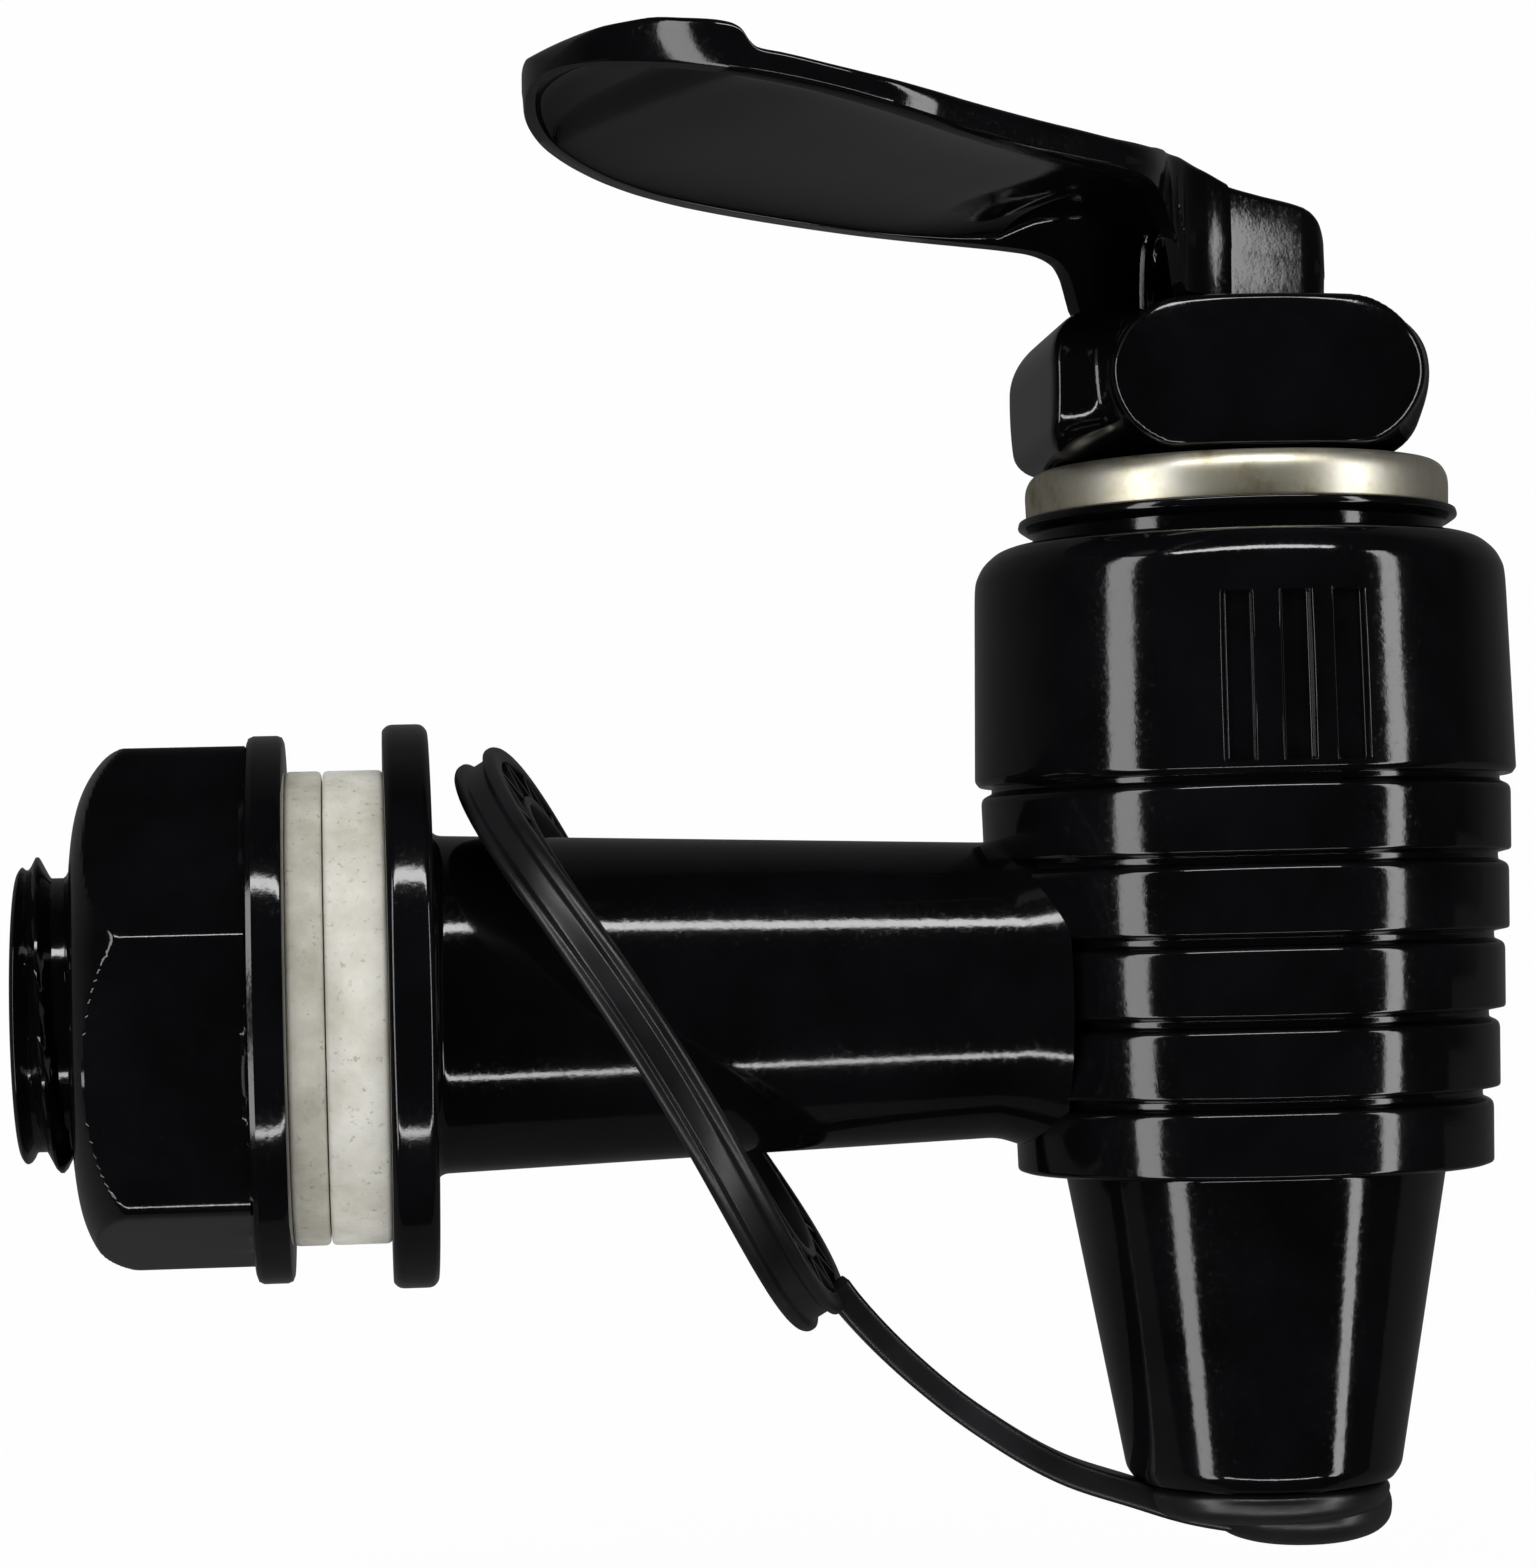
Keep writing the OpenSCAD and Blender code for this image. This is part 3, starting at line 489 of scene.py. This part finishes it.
# Three curves over the distance from the barrel axis along the arm: half the width, the height of the rim under
# the arm, and the height of the arm's upper edge
half_width = smooth_curve([(-4.2, 1.6), (-4.1, 2.3), (-3.8, 3.1), (-3.3, 3.8), (-2.6, 4.25), (-1.8, 4.45),
                           (0, 4.46), (3.15, 4.46), (3.28, 4.74), (5.0, 4.82), (6.0, 5.1), (6.8, 5.5), (7.6, 6.0),
                           (8.4, 6.7), (9, 7.4), (10, 8.5), (11, 9.5), (12, 10.3), (14, 11.2),
                           (16, 11.65), (18, 11.9), (20, 12.12), (22, 12.4), (24, 12.7), (26, 13.0), (28, 13.1),
                           (30, 12.9), (32, 12.3), (34, 11.2), (35, 10.4), (36, 9.3), (37, 7.9), (38, 6.05),
                           (38.8, 4.1), (39.25, 2.5), (39.45, 1.2), (39.5, 0.5)])
rim_low = smooth_curve([(-4.2, 36.0), (-4.0, 35.4), (-3.6, 35.05), (-3.2, 35.0), (0, 35.0), (6.4, 35.0),
                        (6.6, 35.3), (6.8, 36.2), (7.0, 37.1), (7.4, 37.9), (8.2, 38.5), (9, 38.8),
                        (10, 39.08), (12, 39.5),
                        (14, 39.75), (16, 39.93), (20, 40.3), (24, 40.8), (28, 41.5), (32, 42.42), (36, 43.5),
                        (38, 44.15), (39.5, 44.7)])
edge_top = smooth_curve([(-4.2, 36.5), (-4.05, 37.3), (-3.6, 38.4), (-2.7, 39.6), (-1.75, 40.05), (1.1, 40.5),
                         (3.0, 40.83), (5.0, 41.55), (6.8, 41.93), (8.5, 41.86), (10, 41.6), (12, 41.27),
                         (14, 41.24), (17.5, 41.5), (20.8, 41.84), (24, 42.2), (27.2, 42.63), (30.5, 43.17),
                         (33.3, 43.9), (34.2, 44.18), (34.5, 44.55), (34.8, 45.15), (35.2, 45.45), (36.6, 45.85),
                         (37.7, 46.1), (38.6, 46.1), (39.1, 45.9), (39.35, 45.6), (39.5, 45.2)])


def lever_section(s):
    """One closed section square to the arm: crowned top, rounded edges, rim and dished underside."""
    w, low, top = half_width(s), rim_low(s), edge_top(s)
    t = np.sin(np.linspace(-math.pi / 2, math.pi / 2, 41))
    crown = 0.4 * np.clip((s - 7) / 6, 0, 1) * np.clip((39.6 - s) / 3, 0, 1)
    soft = min(0.42, 0.3 * (top - low), 0.3 * w)
    y = [*(t * (w - soft))]
    z = [*(top + crown * (1 - t**2))]
    # Right edge: rounded down to the side, a shoulder part way down, and the rim below
    edge = [(w - soft * (1 - math.sin(k)), top - soft * (1 - math.cos(k)))
            for k in np.linspace(0.2, math.pi / 2, 7)]
    mid = top - 0.56 * (top - low)
    edge += [(w + 0.02, mid + 0.06), (w - 0.03, mid - 0.04), (w - 0.12, low + 0.12), (w - 0.28, low)]
    y += [e[0] for e in edge]
    z += [e[1] for e in edge]
    # Underside: rim, wall of the dish and its roof; in the neck the dish becomes a straight channel
    neck = float(np.clip((s - 7.3) / 2.5, 0, 1))
    rim = min(1.2 + 0.25 * neck, 0.4 * w)
    hollow = np.clip((s + 2.9) / 0.3, 0, 1) * np.clip((39.0 - s) / 1.6, 0, 1)**0.5
    thick = 1.05 * neck + (1 - neck) * (1.3 if s > 2.6 else 2.0)
    depth = hollow * max(0.0, min(top + crown - thick - low, 1.5 if neck >= 1 else 9.9))
    wi = w - rim
    tt = np.sin(np.linspace(math.pi / 2, -math.pi / 2, 41))
    bow = (1 - np.abs(tt)**(2.6 + 9 * (1 - neck)))**0.5
    y += [*(tt * wi)]
    z += [*(low + depth * bow)]
    left = edge[::-1]
    y += [-e[0] for e in left]
    z += [e[1] for e in left]
    return np.array(y), np.array(z)


def lever_shape():
    """The lever lofted through its sections, then turned to where the photograph shows it."""
    stations = np.concatenate([np.linspace(-4.2, -2.4, 20), np.linspace(-2.2, 2.5, 12), [2.58, 2.66],
                               [3.0, 3.13, 3.17, 3.22, 3.27, 3.31], np.linspace(3.5, 6.2, 8),
                               np.linspace(6.3, 10, 34), np.linspace(10.3, 33.8, 52),
                               np.linspace(34.0, 35.4, 22), np.linspace(35.6, 38, 12),
                               np.linspace(38.15, 39.5, 24)])
    grid = []
    for s in stations:
        y, z = lever_section(float(s))
        grid.append(np.stack([AXIS_X - s * math.cos(LEVER_TURN) + y * math.sin(LEVER_TURN),
                              -s * math.sin(LEVER_TURN) - y * math.cos(LEVER_TURN), z], -1))
    return skin(np.array(grid), caps=True)


piece("thumb_lever", lever_shape(), ABS, "lever", "lever_handle", sharp=40)

# ---------------------------------------------------------------- dust cap

RING_AT = np.array((13.48, 0.0, -1.96))
RING_OUT_R, RING_HOLE_R, RING_HALF = 17.0, 13.4, 1.2
CHANNEL_MID = 0.62               # height of the ribs' middle over the ring's own


def hang_ring(local):
    """Bends the tether ring as it hangs and puts it over the shank. local is (along, across, axis)."""
    near_bow, far_bow, bow_at = 1.5, 1.3, 15
    twist, lean = math.radians(9), math.radians(59)
    u, v, w = local[:, 0], local[:, 1], local[:, 2].copy()
    keep = 1 - (u / RING_OUT_R)**2
    w += near_bow * keep * np.clip(-v, 0, None) / bow_at - far_bow * keep * np.clip(v, 0, None) / bow_at
    v2, w2 = v * math.cos(twist) - w * math.sin(twist), v * math.sin(twist) + w * math.cos(twist)
    x, z = u * math.cos(lean) + w2 * math.sin(lean), -u * math.sin(lean) + w2 * math.cos(lean)
    return np.stack([x, v2, z], -1) + RING_AT


def rib_fence(count=40, radius=14.9, length=2.6, width=0.34, height=0.95, lean=42):
    """Geometry Nodes: slanting ribs, left and right in turn, round the channel of the tether ring."""
    tree = bpy.data.node_groups.new("rib_fence", "GeometryNodeTree")
    face = tree.interface
    face.new_socket("Count", in_out="INPUT", socket_type="NodeSocketInt").default_value = count
    for label, value in (("Radius", radius), ("Length", length), ("Width", width), ("Height", height),
                         ("Lean", math.radians(lean))):
        face.new_socket(label, in_out="INPUT", socket_type="NodeSocketFloat").default_value = value
    face.new_socket("Geometry", in_out="OUTPUT", socket_type="NodeSocketGeometry")
    given = add(tree, "NodeGroupInput").outputs
    circle = add(tree, "GeometryNodeCurvePrimitiveCircle",
                 links={"Resolution": given["Count"], "Radius": given["Radius"]})
    size = add(tree, "ShaderNodeCombineXYZ",
               links={"X": given["Length"], "Y": given["Width"], "Z": given["Height"]})
    rib = add(tree, "GeometryNodeMeshCube", links={"Size": size.outputs[0]})
    index = add(tree, "GeometryNodeInputIndex").outputs[0]
    step = add(tree, "ShaderNodeMath", {"operation": "DIVIDE", 0: 2 * math.pi}, {1: given["Count"]})
    round_by = add(tree, "ShaderNodeMath", {"operation": "MULTIPLY"}, {0: index, 1: step.outputs[0]})
    odd = add(tree, "ShaderNodeMath", {"operation": "MODULO", 1: 2.0}, {0: index})
    sign = add(tree, "ShaderNodeMath", {"operation": "MULTIPLY_ADD", 1: 2.0, 2: -1.0}, {0: odd.outputs[0]})
    slant = add(tree, "ShaderNodeMath", {"operation": "MULTIPLY"}, {0: sign.outputs[0], 1: given["Lean"]})
    turn = add(tree, "ShaderNodeMath", {"operation": "ADD"}, {0: round_by.outputs[0], 1: slant.outputs[0]})
    facing = add(tree, "ShaderNodeCombineXYZ", links={"Z": turn.outputs[0]})
    placed = add(tree, "GeometryNodeInstanceOnPoints",
                 links={"Points": circle.outputs["Curve"], "Instance": rib.outputs["Mesh"],
                        "Rotation": facing.outputs[0]})
    real = add(tree, "GeometryNodeRealizeInstances", links={0: placed.outputs[0]})
    dressed = add(tree, "GeometryNodeSetMaterial", {"Material": SOFT}, {"Geometry": real.outputs[0]})
    add(tree, "NodeGroupOutput", links={0: dressed.outputs[0]})
    holder = bpy.data.objects.new("rib_fence", bpy.data.meshes.new("rib_fence"))
    bpy.context.collection.objects.link(holder)
    mod = holder.modifiers.new("ribs", "NODES")
    mod.node_group = tree
    for item in face.items_tree:
        if item.item_type == "SOCKET" and item.in_out == "INPUT":
            mod[item.identifier] = item.default_value
    bpy.context.view_layer.update()
    made = bpy.data.meshes.new_from_object(holder.evaluated_get(bpy.context.evaluated_depsgraph_get()))
    holder.modifiers.clear()
    pts = np.array([v.co for v in made.vertices])
    faces = [tuple(p.vertices) for p in made.polygons]
    bpy.data.objects.remove(holder)
    pts[:, 2] += CHANNEL_MID
    return hang_ring(pts), faces


def tether_ring():
    """The ring's band: grooved rim, and a channel in the face that the ribs stand in."""
    outline = eased([(RING_HOLE_R, -RING_HALF, 0.2), (16.8, -RING_HALF, 0.2), (RING_OUT_R, -0.95, 0.1),
                     (RING_OUT_R, -0.65, 0.1), (16.6, -0.45, 0.1), (16.6, 0.45, 0.1), (RING_OUT_R, 0.65, 0.1),
                     (RING_OUT_R, 0.95, 0.1), (16.8, RING_HALF, 0.15), (16.0, RING_HALF, 0.12),
                     (15.95, 0.25, 0.1), (13.95, 0.25, 0.1), (13.9, RING_HALF, 0.12),
                     (RING_HOLE_R, RING_HALF, 0.15)], steps=3)
    pts, faces = turned(outline, at=0, angles=180)
    return hang_ring(pts), faces


def swept_strap():
    """The strap: a soft rectangle carried along the path from the ring to the plug."""
    knots = np.array([(22.6, -15.0), (23.1, -15.7), (26.0, -18.9), (29.8, -22.1), (34.3, -24.85), (37.5, -26.0),
                      (40.7, -27.05), (43.9, -27.7)])
    far = np.concatenate([[0], np.cumsum(np.linalg.norm(np.diff(knots, axis=0), axis=1))])
    t = np.linspace(0, far[-1], 60)
    x, z = smooth_curve(list(zip(far, knots[:, 0])))(t), smooth_curve(list(zip(far, knots[:, 1])))(t)
    tangent = np.stack([np.gradient(x), np.gradient(z)], -1)
    tangent /= np.linalg.norm(tangent, axis=1)[:, None]
    half_w, half_t, round_off = 1.8, 0.7, 0.35
    section = eased([(-half_w, -half_t, round_off), (half_w, -half_t, round_off),
                     (half_w, half_t, round_off), (-half_w, half_t, round_off)])
    side, rise = section[:, 0], section[:, 1]
    grid = [np.stack([x[i] - rise * tangent[i, 1], side, z[i] + rise * tangent[i, 0]], -1) for i in range(len(t))]
    return skin(np.array(grid), caps=True)


lid = eased([(0, -21.6, 0), (4.4, -21.6, 0.4), (5.2, -22.6, 0.2), (5.2, -25.85, 0.05), (6.15, -25.68, 0.1),
             (6.5, -26.0, 0.25), (6.25, -26.9, 0.35), (5.25, -27.4, 0.5), (0, -27.5, 0)], closed=False)
boss = eased([(0, -26.2, 0), (4.5, -26.2, 0.2), (4.72, -26.9, 0.5), (4.6, -27.8, 0.5), (3.9, -28.45, 0.6),
              (2.6, -28.85, 0.6), (0, -28.95, 0)], closed=False)
piece("tethered_dust_cap", joined(tether_ring(), rib_fence(), swept_strap(), turned(lid, loop=False),
                                  turned(boss, at=AXIS_X + 1.9, loop=False)),
      SOFT, "body", "dust_cap", sharp=40)

# ---------------------------------------------------------------- stage, light and camera


def seen_as_white(t, camera, mirrored):
    """How far a ray sees the plain backdrop and not its lit surface: the camera's own rays, and mirrored ones."""
    ray = add(t, "ShaderNodeLightPath")
    either = add(t, "ShaderNodeMath", {"operation": "MAXIMUM"},
                 {0: ray.outputs["Is Glossy Ray"], 1: ray.outputs["Is Transmission Ray"]})
    part = add(t, "ShaderNodeMath", {"operation": "MULTIPLY", 1: mirrored}, {0: either.outputs[0]})
    own = add(t, "ShaderNodeMath", {"operation": "MULTIPLY", 1: camera}, {0: ray.outputs["Is Camera Ray"]})
    most = add(t, "ShaderNodeMath", {"operation": "MAXIMUM"}, {0: own.outputs[0], 1: part.outputs[0]})
    return most.outputs[0]


def pale_sweep():
    """A pale floor that curves up into a backdrop: plain white to the camera, dim in the tap's own mirror."""
    m, t = new_material("pale_paper_sweep")
    at = add(t, "ShaderNodeTexCoord").outputs["Object"]
    fibre = add(t, "ShaderNodeTexNoise", {"Scale": 900.0, "Detail": 3.0}, {"Vector": at})
    colour = ramp(t, fibre.outputs["Fac"], [(0.3, srgb("e6e6e6")), (0.7, srgb("ececec"))])
    s = add(t, "ShaderNodeBsdfDiffuse", {}, {"Color": colour})
    level = span(t, add(t, "ShaderNodeLightPath").outputs["Is Camera Ray"], 0.045, 1.0)
    plain = add(t, "ShaderNodeEmission", {"Color": (1, 1, 1, 1)}, {"Strength": level})
    mix = add(t, "ShaderNodeMixShader", links={0: seen_as_white(t, 0.97, 0.94), 1: s.outputs["BSDF"],
                                               2: plain.outputs[0]})
    add(t, "ShaderNodeOutputMaterial", links={"Surface": mix.outputs[0]})
    # The floor starts under the spout, so that it hides no lamp from the spout's tapered front
    floor_z, near, far, bend, height = -0.0345, -0.006, 0.35, 0.12, 0.6
    left, right = -0.7, 0.8
    bend_steps = 12
    rows = [(near, floor_z), (far - bend, floor_z)]
    for k in range(1, bend_steps + 1):
        a = math.pi / 2 * k / bend_steps
        rows.append((far - bend + bend * math.sin(a), floor_z + bend * (1 - math.cos(a))))
    rows.append((far, floor_z + height))
    verts = [(x, y, z) for y, z in rows for x in (left, right)]
    faces = [(2 * i, 2 * i + 1, 2 * i + 3, 2 * i + 2) for i in range(len(rows) - 1)]
    mesh = bpy.data.meshes.new("sweep")
    mesh.from_pydata(verts, [], faces)
    mesh.polygons.foreach_set("use_smooth", [True] * len(faces))
    mesh.materials.append(m)
    o = bpy.data.objects.new("sweep", mesh)
    bpy.context.collection.objects.link(o)
    return o


def soft_lamp(name, place, aim, size, power):
    """A rectangular soft box at a place, turned to face a point."""
    lamp = bpy.data.lights.new(name, "AREA")
    lamp.shape = "RECTANGLE"
    lamp.size, lamp.size_y = size
    lamp.energy = power
    o = bpy.data.objects.new(name, lamp)
    bpy.context.collection.objects.link(o)
    o.location = place
    o.rotation_euler = (Vector(aim) - Vector(place)).to_track_quat("-Z", "Y").to_euler()
    return o


def world_light():
    """White to the camera, an even grey as light on the tap, and a dark room in the tap's own mirror."""
    w = bpy.data.worlds.new("studio")
    bpy.context.scene.world = w
    w.use_nodes = True
    t = w.node_tree
    t.nodes.clear()
    # Mirrored rays see a grey surround behind the tap and a dark room in front of it
    way = add(t, "ShaderNodeTexCoord").outputs["Generated"]
    parts = add(t, "ShaderNodeSeparateXYZ", links={0: way}).outputs
    behind = add(t, "ShaderNodeMapRange", {"From Min": 0.1, "From Max": 0.9, "To Min": 0.012, "To Max": 0.13},
                 {"Value": parts["Y"]})
    room = add(t, "ShaderNodeBackground", {"Color": srgb("ffffff")}, {"Strength": behind.outputs["Result"]})
    white = add(t, "ShaderNodeBackground", {"Color": srgb("ffffff"), "Strength": 1.0})
    fill = add(t, "ShaderNodeBackground", {"Color": srgb("ffffff"), "Strength": 0.42})
    ray = add(t, "ShaderNodeLightPath")
    lit = add(t, "ShaderNodeMixShader", links={0: ray.outputs["Is Diffuse Ray"], 1: room.outputs[0],
                                               2: fill.outputs[0]})
    mix = add(t, "ShaderNodeMixShader", links={0: ray.outputs["Is Camera Ray"], 1: lit.outputs[0],
                                               2: white.outputs[0]})
    add(t, "ShaderNodeOutputWorld", links={"Surface": mix.outputs[0]})


def photograph_camera():
    """The camera fitted to the photograph's edges: place, direction and focal length."""
    focal_px, frame_px, sensor_mm = 4219, 1568, 36.0
    place_mm = Vector((-1.029, -216.465, 3.339))
    yaw, pitch, roll = (math.radians(a) for a in (5.499, 1.992, -1.451))
    fwd = Vector((math.sin(yaw) * math.cos(pitch), math.cos(yaw) * math.cos(pitch), math.sin(pitch)))
    right = Vector((math.cos(yaw), -math.sin(yaw), 0))
    up = right.cross(fwd)
    r2 = math.cos(roll) * right + math.sin(roll) * up
    u2 = -math.sin(roll) * right + math.cos(roll) * up
    cam = bpy.data.cameras.new("photograph")
    cam.sensor_fit = "AUTO"
    cam.sensor_width = sensor_mm
    cam.lens = sensor_mm * focal_px / frame_px
    cam.clip_start, cam.clip_end = 0.01, 10
    o = bpy.data.objects.new("photograph", cam)
    bpy.context.collection.objects.link(o)
    turn = Matrix((r2, u2, -fwd)).transposed()
    o.matrix_world = Matrix.Translation(place_mm * MM) @ turn.to_4x4()
    bpy.context.scene.camera = o


pale_sweep()
world_light()
photograph_camera()
# Each lamp lies where the photograph's highlights say: two upright strips that draw the lines down the barrel and
# spout, a box above for the shank's upper line and a strip below for its lower one
soft_lamp("left_strip", (-0.311, -0.184, -0.03), (0.0447, 0, -0.03), (0.085, 0.72), 1.15)
soft_lamp("right_strip", (0.371, -0.231, -0.03), (0.0447, 0, -0.03), (0.06, 0.62), 0.85)
soft_lamp("top_box", (0.02, -0.28, 0.38), (0.02, 0, 0.0), (0.5, 0.05), 1.25)
soft_lamp("low_strip", (0.02, -0.20, -0.24), (0.02, 0, 0.0), (0.4, 0.018), 0.3)

bpy.context.scene.view_settings.view_transform = "Standard"
